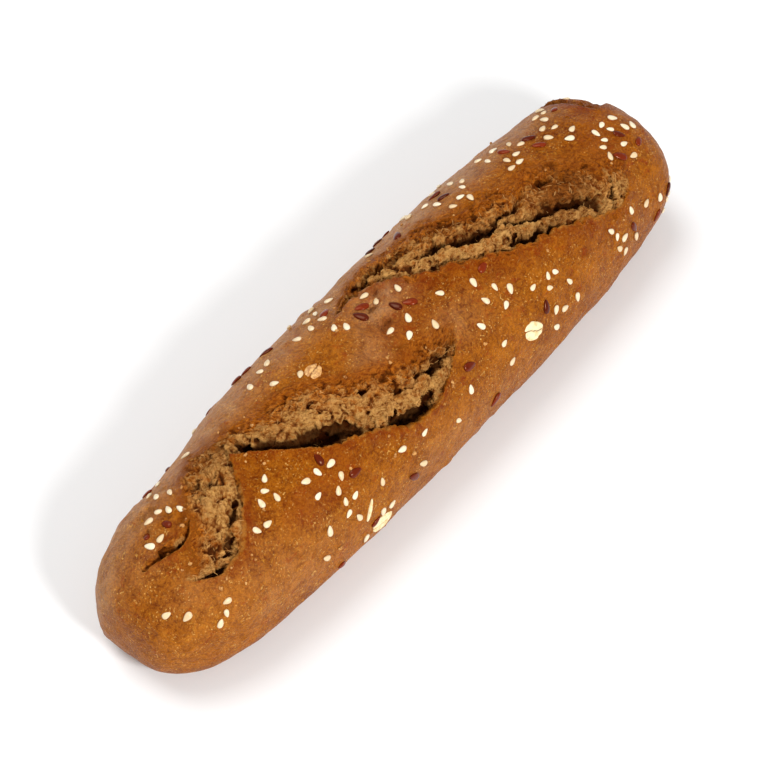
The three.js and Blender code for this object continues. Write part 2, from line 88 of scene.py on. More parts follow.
# The tears. The lip is the sharp raised edge that the crust tore from, the edge is where the torn
# crumb runs out into the crust again: both as x and turn, from the end at -X, point by point.
# swell is how high the crumb domes, fray how far the crust is frayed past the edge, and ragged how
# uneven the lip is. lip_rise is the lip's height, and spill how far bare crumb runs past the edge, at
# the start, the middle and the end. A hollow is a dark opening: where it starts and ends along the
# tear, where it lies between the lip (0) and the edge (1) at both of these, its half width and its
# depth. One of negative depth is a bridge of crumb.
FAR_TEAR = dict(
    lip=[
        (-12, -26), (2, -28), (9, -15), (17, -2), (29, 10),
        (45, 26), (60, 35), (75, 48), (86, 57), (95, 54),
    ],
    edge=[
        (-9, -31), (8, -40), (21, -34), (33, -24), (44, -11),
        (56, -4), (68, 1), (79, 11), (90, 30), (98, 44),
    ],
    swell=1.2, fray=9.0, ragged=1.7, lip_rise=(1.2, 1.5, 0.6),
    hollows=[
        (0.01, 0.20, 0.04, 0.80, 2.5, 6.8), (0.17, 0.29, 0.60, 0.70, 1.7, 4.6),
        (0.30, 0.54, 0.46, 0.49, 2.2, 7.5), (0.49, 0.64, 0.55, 0.86, 1.6, 4.5),
        (0.53, 0.70, 0.50, 0.30, 1.2, 4.5), (0.65, 0.86, 0.42, 0.26, 1.9, 6.5),
        (0.53, 0.71, 0.18, 0.04, 1.5, 5.0), (0.67, 0.80, 0.91, 0.84, 1.0, 2.4),
        (0.875, 0.925, 0.02, 0.90, 2.0, 3.4),
    ],
)
MIDDLE_TEAR = dict(
    lip=[
        (-74, -26), (-70, -8), (-61, 11), (-50, 30), (-41, 38),
        (-32, 47), (-22, 57), (-11, 57), (-3, 51), (5, 42),
    ],
    edge=[
        (-77, -35), (-67, -23), (-58, -11), (-48, -10), (-38, 0),
        (-27, 17), (-16, 28), (-6, 31), (2, 34), (8, 37),
    ],
    swell=1.8, fray=5.5, lip_rise=(1.4, 2.0, 0.3), spill=(3.0, 0, 0),
    hollows=[
        (0.06, 0.17, 0.55, 0.60, 1.6, 3.0), (0.11, 0.53, 0.25, 0.19, 3.1, 7.8),
        (0.56, 0.76, 0.13, 0.15, 2.7, 7.2), (0.50, 0.60, 0.03, 0.12, 2.2, -2.0),
        (0.49, 0.56, 0.58, 0.86, 1.3, 3.2), (0.61, 0.83, 0.80, 0.60, 2.0, 4.0),
        (0.70, 0.80, 0.93, 0.88, 1.2, 2.8), (0.76, 0.98, 0.66, 0.60, 1.8, 3.6),
    ],
)
NEAR_TEAR = dict(
    lip=[(-68, -18), (-72, -6), (-78, 10), (-85, 27), (-92, 38), (-100, 41), (-108, 32)],
    edge=[(-75, -38), (-83, -24), (-89, -10), (-94, 6), (-98, 18), (-103, 26), (-109, 28)],
    swell=0.4, fray=2.5, lip_rise=(1.0, 1.1, 0.6), spill=(2.0, 3.0, 1.0),
    hollows=[
        (0.04, 0.30, 0.58, 0.45, 1.8, 3.0), (0.20, 0.28, 0.90, 0.86, 1.3, 2.6),
        (0.31, 0.41, 0.84, 0.86, 1.2, 2.6), (0.38, 0.54, 0.12, 0.32, 1.7, 4.6),
        (0.54, 0.75, 0.34, 0.26, 1.6, 4.8), (0.75, 0.97, 0.24, 0.02, 1.5, 4.8),
    ],
)
BACK_TEAR = dict(
    lip=[(100, -62), (107, -50), (109, -34), (110.5, -20), (112, -7)],
    edge=[(102, -68), (111, -57), (113.5, -40), (114.5, -24), (114.5, -9)],
    swell=0.0, fray=2.0, lip_rise=(0.4, 0.4, 0.4),
    hollows=[(0.05, 0.97, 0.50, 0.50, 2.2, 4.8)],
)
CRACK = dict(
    lip=[(-95, -1), (-99, 6), (-104, 6.5), (-109, 1), (-115, -6)],
    edge=[(-94, -5), (-99, 0), (-102, 1), (-107, -5), (-114, -10)],
    swell=-0.4, fray=0.8, ragged=0.5, lip_rise=(0, 0, 0),
    hollows=[(0.03, 0.97, 0.50, 0.50, 1.15, 4.3)],
)
BROKEN_UNDER = 4.2  # a hollow shallower than this is broken up into pits
UNDERCUT = 1.8  # how far a hollow runs in under the lip
LIP_DROP = 1.4  # step from the lip down to crumb that has no hollow
LIP_FACE = 0.8  # crust that folds down over the lip
LIP_NOSE = 0.35  # how far the lip leans out over the crumb
LIP_REACH = 2.7  # how far back from the tear the lip swells
EDGE_RISE = 0.45  # how high the crust stands along the edge
FOLD_RISE = 0.4  # stretched folds of crust beside the edge
FOLD_LENGTH = 4.2
CRUMBLE = 3.2  # how far back from a ragged lip the crust crumbles
PAINTED_SHADE_DEPTHS = (1.2, 4.6)  # painted shade darkens a hollow between these depths
ALONG = (0, 0.5, 1)  # where along a tear its lip_rise and spill are given
STATIONS = 72  # sections at which a tear's lines are known
TEAR_REACH = 16.0  # how far from its lines a tear changes the crust
FAR_AWAY = 1e6

# Pits and crests of torn crumb: height, size, seed and the pits' layers of noise.
PITS = ((1.25, 3.4, 61, 3), (0.6, 1.7, 65, 2))
PIT_SHARES = (0.17, 0.43)  # values of the noise between which a pit deepens
CRESTS = ((0.2, 2.6, 71), (0.26, 1.3, 72))
FIBRE_STRETCH = 2.4  # how much longer than wide a fibre is

# Flakes and seeds: taper is how much narrower one tip is, sunk how deep they are baked in.
OAT = dict(name="oat", length=8.4, width=6.2, thick=1.5, taper=0.1, sunk=0.45, crease=0.5, shade=0.1)
BURNT_OAT = dict(OAT, length=6.4, width=5.2, sunk=0.62, shade=0.9)
SPLINTER = dict(OAT, length=7.4, width=1.3, taper=0.0, sunk=0.5, crease=0.0, shade=0.0)
FLAX = dict(name="flax", length=4.8, width=2.5, thick=1.2, taper=0.3, sunk=0.35)
SESAME = dict(name="sesame", length=3.1, width=1.85, thick=1.0, taper=0.34, sunk=0.3)

SEED_NET = (11, 14)  # rows and sides of its mesh
FLAKE_NET = (24, 44)
NOISE_SHIFT = 31.7  # so that no two are uneven alike

CRUMB = dict(name="crumbs", taper=0.2, sunk=0.3, uneven=0.6)
CRUMBS_AT_TEAR = 16
CRUMBS_ON_CRUST = 14

STRANDS = 900  # fine threads of crumb over the torn places
STRAND_POINTS = 6
STRAND_SIDES = 4
STRAND_SUNK = 0.1  # how deep their ends lie in the crumb
STEEPEST_STRAND = 1.6  # no thread spans a greater step than this

# Single flakes: kind, x, turn, heading in degrees from +X.
FLAKES = [(OAT, 33, 70, -25), (OAT, -45, 97, 5), (BURNT_OAT, -32, -10, 20), (SPLINTER, -50, 78, 58)]

# Drifts of scattered seeds: x, turn, reach, how many sesame and how many flax seeds.
DRIFTS = [
    (-108, 50, 14, 5, 0), (-97, -14, 12, 7, 2), (-86, -55, 13, 4, 2), (-78, 24, 9, 6, 0),
    (-56, 46, 9, 8, 2), (-60, 86, 14, 5, 2), (-34, 72, 14, 6, 1), (-34, -40, 14, 6, 3),
    (-8, -34, 11, 9, 3), (5, 5, 12, 7, 2), (6, 66, 16, 5, 2), (28, 32, 7, 5, 1), (44, 66, 13, 9, 1),
    (28, -58, 13, 6, 3), (54, -40, 11, 10, 2), (76, -30, 9, 9, 1), (90, 66, 12, 8, 1),
    (97, -22, 12, 8, 3), (107, 22, 10, 11, 3), (108, -60, 12, 4, 3), (112, 86, 10, 5, 2),
    (-70, -95, 22, 4, 2), (-15, -92, 24, 5, 2), (40, -95, 20, 5, 2), (85, -90, 16, 5, 2),
]
SEED_GAP = 3.4  # least distance between two seeds
TEAR_GAP = 3.0  # least distance from a seed to a tear
END_GAP = 4.0  # least distance from a seed to either end
TRIES = 30
MOST_IN_DRIFT = 12
GAP_STEPS = 48  # sections of a tear that are tried

# Mesh sizes: the longest edge allowed in a tear, on the crust and on the underside.
TEAR_EDGE = 0.74
CRUST_EDGE = 1.9
SOLE_EDGE = 3.8
SOLE_TURNS = (105, 140)  # where the crust gives way to the underside
FIRST_RINGS = 64
FIRST_SIDES = 60
MOST_SPLITS = 8

RANDOM_START = 4459
RANDOM_FACTOR = 16807
RANDOM_MODULUS = 2147483647
drawn = RANDOM_START


def random():
    """The next draw from 0 to 1 of a fixed series."""
    global drawn
    drawn = (drawn * RANDOM_FACTOR) % RANDOM_MODULUS
    return drawn / RANDOM_MODULUS


def between(low, high):
    return low + (high - low) * random()


# ---- Shaping functions


def smooth(low, high, value):
    share = np.clip((value - low) / (high - low), 0, 1)
    return share * share * (3 - 2 * share)


def bell(value):
    return np.exp(-value * value)


def mix(a, b, share):
    return a + (b - a) * share


def fade(share):
    return np.sin(np.pi * np.clip(share, 0, 1))


HASHES = np.array([374761393, 668265263, 362437])
SEED_HASH = 144269504
MIXING_HASH = 1274126177
WORD = 0xFFFFFFFF
HALF_WORD = 0xFFFF


def lattice(cell, seed):
    """A fixed draw from -1 to 1 for each cell of a grid."""
    value = ((cell * HASHES).sum(-1) + seed * SEED_HASH) & WORD
    value = ((value ^ (value >> 13)) * MIXING_HASH) & WORD
    return ((value ^ (value >> 16)) & HALF_WORD) / (HALF_WORD / 2) - 1


def wobble(points, size, seed):
    """Smooth noise from -1 to 1, with lumps of about that size."""
    scaled = points / size
    cell = np.floor(scaled).astype(np.int64)
    part = scaled - cell
    part = part * part * (3 - 2 * part)
    total = 0.0
    for corner in np.ndindex(2, 2, 2):
        corner = np.array(corner)
        weight = np.prod(np.where(corner == 1, part, 1 - part), axis=-1)
        total = total + weight * lattice(cell + corner, seed)
    return total


TWIST = np.array([[0.36, 0.48, -0.8], [-0.8, 0.6, 0.0], [0.48, 0.64, 0.6]])  # turns layers apart
LAYER_FADE = 0.55  # strength of a layer of noise against the one before
RIDGE_STEEPNESS = 3.2


def layered(points, size, seed, layers):
    """Noise with finer noise on it."""
    total, strength, whole = 0.0, 1.0, 0.0
    for layer in range(layers):
        points = points @ TWIST
        total = total + strength * wobble(points, size, seed + layer)
        whole += strength
        strength *= LAYER_FADE
        size *= 0.5
    return total / whole


def waves(points, *noises):
    """The sum of smooth noises, each with its height, the size of its lumps in mm and its seed."""
    return sum(height * wobble(points, size, seed) for height, size, seed in noises)


def raised(points, height, *noise):
    """Layered noise of that height."""
    return height * layered(points, *noise)


def ridged(points, size, seed):
    """Thin crests: 1 on them and about -1 between them."""
    return 1 - RIDGE_STEEPNESS * np.abs(wobble(points, size, seed))


# ---- The crust's surface


TINY = 1e-9
SLOPE_STEP = 0.5  # half the stretch that a slope is taken over
TIP_GAP = 0.01


def radius_at(x, turn):
    """Distance of the crust from the long axis, before it tore."""
    along = 2 * x / LENGTH
    cap = np.where(x < 0, NEAR_CAP, FAR_CAP)
    into_cap = np.clip((np.abs(x) - (LENGTH / 2 - cap)) / cap, 0, 1)
    round_off = np.maximum(1 - into_cap**2, 0) ** (1 / CAP_POWER)
    full = 1 + LEAN * along - TAPER * np.abs(along) ** 3
    angle = np.radians(turn)
    up, side = np.cos(angle), np.abs(np.sin(angle))
    rounded = np.maximum(round_off, TINY)
    half_width = WIDTH / 2 * rounded * full
    half_height = np.where(up > 0, (HEIGHT - BELLY) * rounded * full, (BELLY + SOLE_SINK) * rounded)
    power = np.where(up > 0, TOP_POWER, BASE_POWER)
    radius = ((side / half_width) ** power + (np.abs(up) / half_height) ** power) ** (-1 / power)
    rise = WAVE_RISE * np.sin(x / WAVE_LENGTH * 2 * np.pi + 2 * angle) * up
    for middle, middle_turn, height, reach, reach_turn in SWELLS:
        away = ((x - middle) / reach) ** 2 + ((turn - middle_turn) / reach_turn) ** 2
        rise = rise + height * np.exp(-away)
    return np.where(round_off > 0, radius + rise * round_off, 0)


def skin(x, turn):
    """Places on the crust before it tore."""
    radius = radius_at(x, turn)
    up = BELLY + radius * np.cos(np.radians(turn))
    return np.stack([x, -radius * np.sin(np.radians(turn)), np.maximum(up, 0)], axis=-1)


def outward(x, turn):
    """The directions that the crust faces."""
    inner = LENGTH / 2 - SLOPE_STEP - TIP_GAP
    held = np.clip(x, -inner, inner)
    along_x = skin(held + SLOPE_STEP, turn) - skin(held - SLOPE_STEP, turn)
    around = skin(held, turn + SLOPE_STEP) - skin(held, turn - SLOPE_STEP)
    normal = np.cross(around, along_x)
    return normal / np.maximum(norm(normal, axis=-1, keepdims=True), TINY)


# ---- The tears


def spline(pairs, shares):
    """A curve through the pairs, the same one as the loaf's solid is cut by."""
    pairs = np.array(pairs, float)
    last = len(pairs) - 1
    place = shares * last
    index = np.clip(np.floor(place).astype(int), 0, last - 1)
    part = (place - index)[:, None]
    start, end = pairs[index], pairs[index + 1]
    before = pairs[np.maximum(index - 1, 0)]
    after = pairs[np.minimum(index + 2, last)]
    slope_in = (end - before) / 2
    slope_out = (after - start) / 2
    return (
        (2 * start - 2 * end + slope_in + slope_out) * part**3
        + (3 * end - 3 * start - 2 * slope_in - slope_out) * part**2
        + slope_in * part
        + start
    )


# What is known of each point of the surface, from 0 to 1: bare crumb, rough surface, the crust's torn
# edge line, crust darkened beside a tear, crumb that browned in the oven, and painted shade in the
# hollows.
MASKS = ("crumb", "rough", "torn", "lip", "toast", "deep")


class Tear:
    def __init__(self, lip, edge, swell, fray, lip_rise, hollows, ragged=1.0, spill=(0, 0, 0)):
        shares = np.linspace(0, 1, STATIONS)
        flat = np.array([1.0, TURN_MM])
        self.lip = spline(lip, shares) * flat
        self.edge = spline(edge, shares) * flat
        across = self.edge - self.lip
        self.width = norm(across, axis=1)
        self.unit = across / self.width[:, None]
        self.length = norm(np.diff(self.lip, axis=0), axis=1).sum()
        self.swell, self.fray, self.ragged = swell, fray, ragged
        self.lip_rise, self.spill, self.hollows = lip_rise, spill, hollows
        both = np.concatenate([self.lip, self.edge])
        self.low = both.min(0) - TEAR_REACH
        self.high = both.max(0) + TEAR_REACH

    def locate(self, spots):
        """For spots of x and millimetres of turn: the share along the tear, the millimetres past the
        lip, the width there, the direction across, and whether a section passes through the spot."""
        offset = spots[:, None, :] - self.lip[None]
        past = (offset * self.unit).sum(-1)
        aside = self.unit[:, 0] * offset[..., 1] - self.unit[:, 1] * offset[..., 0]
        beyond = np.maximum(np.maximum(past - self.width, -past), 0)
        away = np.hypot(beyond, aside)
        crosses = aside[:, :-1] * aside[:, 1:] <= 0
        cost = np.where(crosses, np.minimum(away[:, :-1], away[:, 1:]), FAR_AWAY)
        index = np.argmin(cost, axis=1)
        rows = np.arange(len(spots))
        first, next_one = aside[rows, index], aside[rows, index + 1]
        gap = first - next_one
        part = np.clip(np.where(np.abs(gap) > TINY, first / np.where(gap == 0, 1, gap), 0), 0, 1)
        share = (index + part) / (STATIONS - 1)
        past_lip = mix(past[rows, index], past[rows, index + 1], part)
        width = mix(self.width[index], self.width[index + 1], part)
        unit = mix(self.unit[index], self.unit[index + 1], part[:, None])
        found = cost[rows, index] < FAR_AWAY
        return share, past_lip, width, unit, found

    def hollow_depth(self, share, across, width, ragged=0.0, uneven=1.0, broken=1.0):
        """Depth of the hollows there."""
        depth = np.zeros_like(share)
        for start, end, start_across, end_across, reach, deep in self.hollows:
            way = (share - start) / (end - start)
            offset = (across - mix(start_across, end_across, np.clip(way, 0, 1))) * width + ragged
            change = broken if 0 < deep < BROKEN_UNDER else uneven
            wall = np.exp(-(np.abs(offset / reach) ** 3))
            depth = depth + deep * change * fade(way) ** 0.6 * wall
        return depth

    def form(self, grain, share, past, width, gape):
        """The rise over the skin, how far past the lip the spot ends up, and the hollows' depth."""
        across = np.clip((past - LIP_FACE) / (width - LIP_FACE), 0, 1)
        fold = np.clip(past / LIP_FACE, 0, 1)
        beyond = past - width
        uneven = 1 + waves(grain, (0.35, 3.2, 16))
        broken = 1.35 * smooth(-0.22, 0.22, waves(grain, (1.0, 3.6, 17)))
        ragged = waves(grain, (0.9, 3.6, 14), (0.4, 1.4, 15))
        hollow = self.hollow_depth(share, across, width, ragged, uneven, broken)
        under_lip = self.hollow_depth(share, np.full(len(share), 0.1), width)
        under = UNDERCUT * np.clip(under_lip / 4, 0, 1) * gape
        drop = LIP_DROP * np.exp(-across / 0.12) * gape
        floor = self.swell * fade(across) * gape - drop - hollow
        top = np.interp(share, ALONG, self.lip_rise)
        top = top * (0.95 + waves(grain, (0.5, 5.5, 21))) * gape
        outside = top * bell(np.minimum(past + 0.8, 0) / LIP_REACH)
        height = np.where(past < 0, outside, mix(top, floor, smooth(0, 1, fold)))
        folds = np.cos(2 * np.pi * (beyond + waves(grain, (1.6, 5.0, 22))) / FOLD_LENGTH)
        folds = folds * (0.6 + waves(grain, (0.7, 7.0, 23)))
        folded = bell((beyond - 0.4 * self.fray) / (0.55 * self.fray))
        height = height + EDGE_RISE * gape * bell(beyond / 2.5)
        height = height + FOLD_RISE * folds * gape * folded
        leaned = LIP_NOSE * gape * fade(fold) - under * smooth(0.15, 1, fold)
        target = np.where(fold < 1, past + leaned, mix(LIP_FACE - under, width, across))
        return height, np.where((past <= 0) | (past >= width), past, target), hollow

    def marks(self, grain, share, past, width, gape, hollow):
        """The masks. Widths are in millimetres, or in shares of the tear's width and its fray."""
        fray = self.fray
        beyond = past - width
        frayed = waves(grain, (2.2, 3.4, 31), (1.3, 1.3, 32))
        spilt = beyond - np.interp(share, ALONG, self.spill)
        ends = smooth(0, 0.03, share) * (1 - smooth(0.97, 1, share))
        on_face = smooth(0.3 * LIP_FACE, LIP_FACE, past)
        rough = smooth(0, LIP_FACE, past) * (1 - smooth(-0.5, fray, beyond + frayed)) * ends
        browned = smooth(-0.5 * width - 0.3 * fray, -0.05 * width - 0.1 * fray, spilt + 1.2 * frayed)
        browned = browned * (1 - smooth(0.3 * fray, 1.3 * fray, spilt + frayed)) * ends
        crumbled = 0.4 + waves(grain, (1.0, 3.0, 25), (0.5, 1.2, 26))
        crumbled = CRUMBLE * max(self.ragged - 1, 0) * crumbled
        crumbled = smooth(-0.6, 0.4, past + crumbled) * (past < 0) * gape * ends
        torn = bell((past - 0.3 * LIP_FACE) / 0.35) * smooth(-0.35, 0.3, waves(grain, (1.0, 1.9, 24)))
        by_lip, by_edge = bell(past / (3.4 * self.ragged)), 0.8 * bell((beyond - 2.2) / 2.6)
        return dict(
            crumb=on_face * (1 - smooth(-2.2, -0.2, spilt + frayed)) * ends,
            rough=np.maximum(rough, 0.5 * crumbled),
            torn=torn * gape,
            lip=np.where(past < 0, by_lip, by_edge) * gape,
            toast=np.maximum(browned, crumbled),
            # deep: painted shade in the hollows, by their depth
            deep=smooth(*PAINTED_SHADE_DEPTHS, hollow) * on_face,
        )

    def effect(self, spots, grain_points):
        """What the tear does to the crust at each spot: its rise over the skin and its move across it,
        how far inside the tear and how close to it the spot is, its flow, which is millimetres along
        the tear and past the lip, and the masks. Noise is drawn for the grain points."""
        count = len(spots)
        done = {name: np.zeros(count) for name in ("rise", "inside", "close", *MASKS)}
        done["move"], done["flow"] = np.zeros((count, 2)), np.zeros((count, 2))
        near = ((spots > self.low) & (spots < self.high)).all(1)
        if not near.any():
            return done
        grain = grain_points[near]
        share, past, width, unit, found = self.locate(spots[near])
        ragged = waves(grain, (0.75, 4.2, 11), (0.55, 1.6, 12), (0.3, 0.8, 13)) * self.ragged
        past = past + ragged * np.minimum(width / 8, 1)
        beyond = past - width
        gape = np.where(found, fade(share) ** 0.5, 0)  # how far open the tear is
        height, target, hollow = self.form(grain, share, past, width, gape)
        for name, mask in self.marks(grain, share, past, width, gape, hollow).items():
            done[name][near] = mask * found
        past_fray = smooth(0.1 * self.fray, 1.5 + 0.5 * self.fray, beyond)
        done["rise"][near] = np.where(found, height, 0)
        done["move"][near] = ((target - past) * found)[:, None] * unit
        done["inside"][near] = smooth(0, LIP_FACE, past) * (1 - smooth(-1, 0, beyond)) * found
        done["close"][near] = smooth(-3.6, -1.4, past) * (1 - past_fray) * found
        done["flow"][near] = np.c_[share * self.length, past]
        return done


TEARS = [Tear(**lines) for lines in (FAR_TEAR, MIDDLE_TEAR, NEAR_TEAR, BACK_TEAR, CRACK)]


def formed(ring_points):
    """The loaf's surface with its tears, for points of x, cosine and sine of the turn: columns of its
    places, of the longest edge wanted there, of the flow and of the masks."""
    x = ring_points[:, 0]
    turn = np.degrees(np.arctan2(ring_points[:, 2], ring_points[:, 1]))
    grain = skin(x, turn)
    spots = np.c_[x, turn * TURN_MM]
    rise, close = np.zeros(len(x)), np.zeros(len(x))
    move, flow = np.zeros((len(x), 2)), np.zeros((len(x), 2))
    masks = {name: np.zeros(len(x)) for name in MASKS}
    for tear in TEARS:
        done = tear.effect(spots, grain)
        outside = 1 - done["inside"]
        rise = rise * outside + done["rise"]
        move = move * outside[:, None] + done["move"]
        close = np.maximum(close, done["close"])
        flow = np.where((done["rough"] > 0)[:, None], done["flow"], flow)
        for name in MASKS:
            kept = masks[name] * outside if name in ("lip", "torn") else masks[name]
            masks[name] = np.maximum(kept, done[name])
    moved_x = np.clip(x + move[:, 0], -LENGTH / 2, LENGTH / 2)
    moved_turn = turn + move[:, 1] / TURN_MM
    places = skin(moved_x, moved_turn) + outward(moved_x, moved_turn) * rise[:, None]
    sole = smooth(*SOLE_TURNS, np.abs(turn))
    longest = mix(mix(CRUST_EDGE, SOLE_EDGE, sole), TEAR_EDGE, close)
    return np.column_stack([places, longest, flow, *masks.values()])


# ---- Meshes from arrays


def first_grid():
    """A coarse closed net over the loaf: points of x, cosine and sine of the turn, and triangles."""
    points = [(-LENGTH / 2, 0.0, 0.0)]
    for ring in range(1, FIRST_RINGS):
        x = -LENGTH / 2 * math.cos(ring / FIRST_RINGS * math.pi)
        for side in range(FIRST_SIDES):
            angle = 2 * math.pi * (side + 0.5 * (ring % 2)) / FIRST_SIDES
            points.append((x, math.cos(angle), math.sin(angle)))
    points.append((LENGTH / 2, 0.0, 0.0))
    last = len(points) - 1
    triangles = []

    def at(ring, side):
        return 1 + (ring - 1) * FIRST_SIDES + side % FIRST_SIDES

    for side in range(FIRST_SIDES):
        triangles.append((0, at(1, side + 1), at(1, side)))
        for ring in range(1, FIRST_RINGS - 1):
            a, b = at(ring, side), at(ring, side + 1)
            c, d = at(ring + 1, side), at(ring + 1, side + 1)
            triangles += [(a, b, d), (a, d, c)] if ring % 2 else [(a, b, c), (b, d, c)]
        triangles.append((last, at(FIRST_RINGS - 1, side), at(FIRST_RINGS - 1, side + 1)))
    return np.array(points), np.array(triangles)


def split(triangles, middles, places):
    """Each triangle in 1 to 4, at the middles of its long edges (-1 where an edge stays)."""
    cut = middles >= 0
    number = cut.sum(1)
    parts = [triangles[number == 0]]

    def turned(which, side):
        return (np.roll(given[which], -side, axis=1) for given in (triangles, middles))

    for side in range(3):
        t, m = turned((number == 1) & cut[:, side], side)
        m = m[:, 0]
        parts += [np.c_[t[:, 0], m, t[:, 2]], np.c_[m, t[:, 1], t[:, 2]]]
        t, m = turned((number == 2) & ~cut[:, side], side)
        a, b, c, bc, ca = t[:, 0], t[:, 1], t[:, 2], m[:, 1], m[:, 2]
        from_a, from_b = places[a] - places[bc], places[b] - places[ca]
        short = (norm(from_a, axis=1) < norm(from_b, axis=1))[:, None]
        parts += [np.c_[bc, c, ca], np.where(short, np.c_[a, b, bc], np.c_[a, b, ca])]
        parts.append(np.where(short, np.c_[a, bc, ca], np.c_[b, bc, ca]))
    t, m = triangles[number == 3], middles[number == 3]
    for corner in range(3):
        parts.append(np.c_[t[:, corner], m[:, corner], m[:, corner - 1]])
    parts.append(m)
    return np.concatenate(parts)


def refined():
    """Splits the loaf's net until no edge in space is longer than the surface asks for."""
    points, triangles = first_grid()
    state = formed(points)
    for _ in range(MOST_SPLITS):
        sides = np.sort(triangles[:, [[0, 1], [1, 2], [2, 0]]].reshape(-1, 2), axis=1)
        edges, which = np.unique(sides, axis=0, return_inverse=True)
        a, b = edges[:, 0], edges[:, 1]
        places, longest = state[:, :3], state[:, 3]
        far = norm(places[a] - places[b], axis=1) > np.minimum(longest[a], longest[b])
        if not far.any():
            break
        middle = (points[a[far]] + points[b[far]]) / 2
        middle[:, 1:] /= norm(middle[:, 1:], axis=1, keepdims=True)
        number = np.full(len(edges), -1)
        number[far] = len(points) + np.arange(far.sum())
        points = np.concatenate([points, middle])
        state = np.concatenate([state, formed(middle)])
        triangles = split(triangles, number[which.reshape(-1)].reshape(-1, 3), state[:, :3])
    return triangles, state


def corner_normals(places, triangles):
    a, b, c = (places[triangles[:, corner]] for corner in range(3))
    face = np.cross(b - a, c - a)
    total = np.zeros_like(places)
    for corner in range(3):
        np.add.at(total, triangles[:, corner], face)
    return total / np.maximum(norm(total, axis=1, keepdims=True), 1e-12)


def placed(name, data):
    """A new object in the scene."""
    piece = bpy.data.objects.new(name, data)
    bpy.context.scene.collection.objects.link(piece)
    return piece


def mesh_piece(name, places_mm, triangles, masks):
    """A smooth mesh object from places in millimetres, with a number per point for each mask."""
    mesh = bpy.data.meshes.new(name)
    mesh.vertices.add(len(places_mm))
    mesh.vertices.foreach_set("co", (places_mm * MM).astype(np.float32).ravel())
    mesh.loops.add(len(triangles) * 3)
    mesh.loops.foreach_set("vertex_index", triangles.astype(np.int32).ravel())
    mesh.polygons.add(len(triangles))
    mesh.polygons.foreach_set("loop_start", np.arange(0, len(triangles) * 3, 3, dtype=np.int32))
    mesh.polygons.foreach_set("use_smooth", np.ones(len(triangles), bool))
    mesh.update(calc_edges=True)
    for key, values in masks.items():
        layer = mesh.attributes.new(key, "FLOAT", "POINT")
        layer.data.foreach_set("value", values.astype(np.float32))
    return placed(name, mesh)


# ---- The loaf


def crumb_relief(points, flow):
    """Torn crumb in millimetres: its broad lumps, and on them the crests, pits and stretched fibres."""
    bend = np.stack([wobble(points, 3.1, 41 + k) for k in range(3)], axis=1)
    bent = (points + 0.9 * bend) @ TWIST
    pits = sum(deep * smooth(*PIT_SHARES, layered(bent, *noise)) for deep, *noise in PITS)
    crests, turned = 0.0, bent
    for height, *noise in CRESTS:
        crests = crests + height * ridged(turned, *noise)
        turned = turned @ TWIST
    crests = crests + waves(points, (0.2, 0.8, 73))
    veer = waves(points, (1.4, 15.0, 84))
    along = np.cos(veer) * flow[:, 0] + np.sin(veer) * flow[:, 1]
    aside = np.cos(veer) * flow[:, 1] - np.sin(veer) * flow[:, 0]
    fibres = np.c_[along / FIBRE_STRETCH, aside, points[:, 2] / 4]
    crests = crests + 0.28 * ridged(fibres + 0.8 * bend, 1.2, 81)
    return raised(bent, 0.65, 5.5, 51, 2), crests - pits


def crust_relief(points):
    """Relief of baked crust in millimetres: soft dents, blisters and a fine wrinkle."""
    blisters = np.maximum(layered(points, 4.2, 95, 2) - 0.1, 0) ** 2
    return raised(points, 0.55, 11.0, 91, 3) + 1.1 * blisters + waves(points @ TWIST, (0.15, 2.9, 97))


def baked(places):
    """How dark the crust is baked, where flour and a painted sheen pale it, and where crumb is toasted,
    for each place.
    """
    x, y, above = places[:, 0], places[:, 1], places[:, 2] - BELLY
    turn = np.degrees(np.arctan2(-y, above))

    def patches(spots):
        total = np.zeros(len(places))
        for middle, middle_turn, reach, reach_turn, strength in spots:
            total += strength * bell((x - middle) / reach) * bell((turn - middle_turn) / reach_turn)
        return total

    # a turn means little near the tips, and it jumps under them; the upper flank facing +Y gets flour
    # and a painted sheen
    clear = smooth(3, 17, np.hypot(y, above))
    flour_and_sheen = smooth(-16, -48, turn) * mix(1, 0.45, smooth(-80, -112, turn))
    flour_and_sheen = flour_and_sheen * smooth(-165, -118, turn) * (0.78 + raised(places, 0.5, 12.0, 101, 3))
    flour_and_sheen = flour_and_sheen + patches(FLOURED) * (1 + raised(places, 0.9, 7.0, 103, 3))
    browned = 0.5 + patches(BROWNED) * clear
    return np.clip(browned, 0, 1), np.clip(flour_and_sheen * clear, 0, 1), np.clip(patches(TOASTED), 0, 1)


def loaf_piece():
    triangles, state = refined()
    places, flow = state[:, :3], state[:, 4:6]
    masks = dict(zip(MASKS, state[:, 6:].T))
    normals = corner_normals(places, triangles)
    lumps, pitted = crumb_relief(places, flow)
    masks["bake"], masks["flour_and_sheen"], masks["tan"] = baked(places)
    calm = 1 - 0.7 * masks["tan"]
    pitted = pitted * calm
    relief = mix(crust_relief(places), lumps * calm + pitted, masks["rough"])
    lifted = smooth(0, 4, places[:, 2])  # the tray irons the underside nearly smooth
    places = places + normals * (relief * mix(0.15, 1, lifted))[:, None]
    places[:, 2] = np.maximum(places[:, 2], 0)
    # crest: high on the crumb's crests and low in its pits; the crumb's colour takes painted shade and
    # painted highlights from it
    masks["crest"] = mix(0.6, smooth(-1.3, 0.6, pitted), masks["rough"])
    masks["along"], masks["past"] = flow[:, 0] * MM, flow[:, 1] * MM
    return mesh_piece("loaf", places, triangles, masks)


# ---- Flakes and seeds


def is_torn(x, turn):
    for tear in TEARS:
        picked = np.linspace(0, STATIONS - 1, GAP_STEPS).round().astype(int)
        offset = np.array([x, turn * TURN_MM]) - tear.lip[picked]
        run = np.clip((offset * tear.unit[picked]).sum(1), 0, tear.width[picked])
        away = norm(offset - run[:, None] * tear.unit[picked], axis=1)
        if away.min() < TEAR_GAP:
            return True
    return False


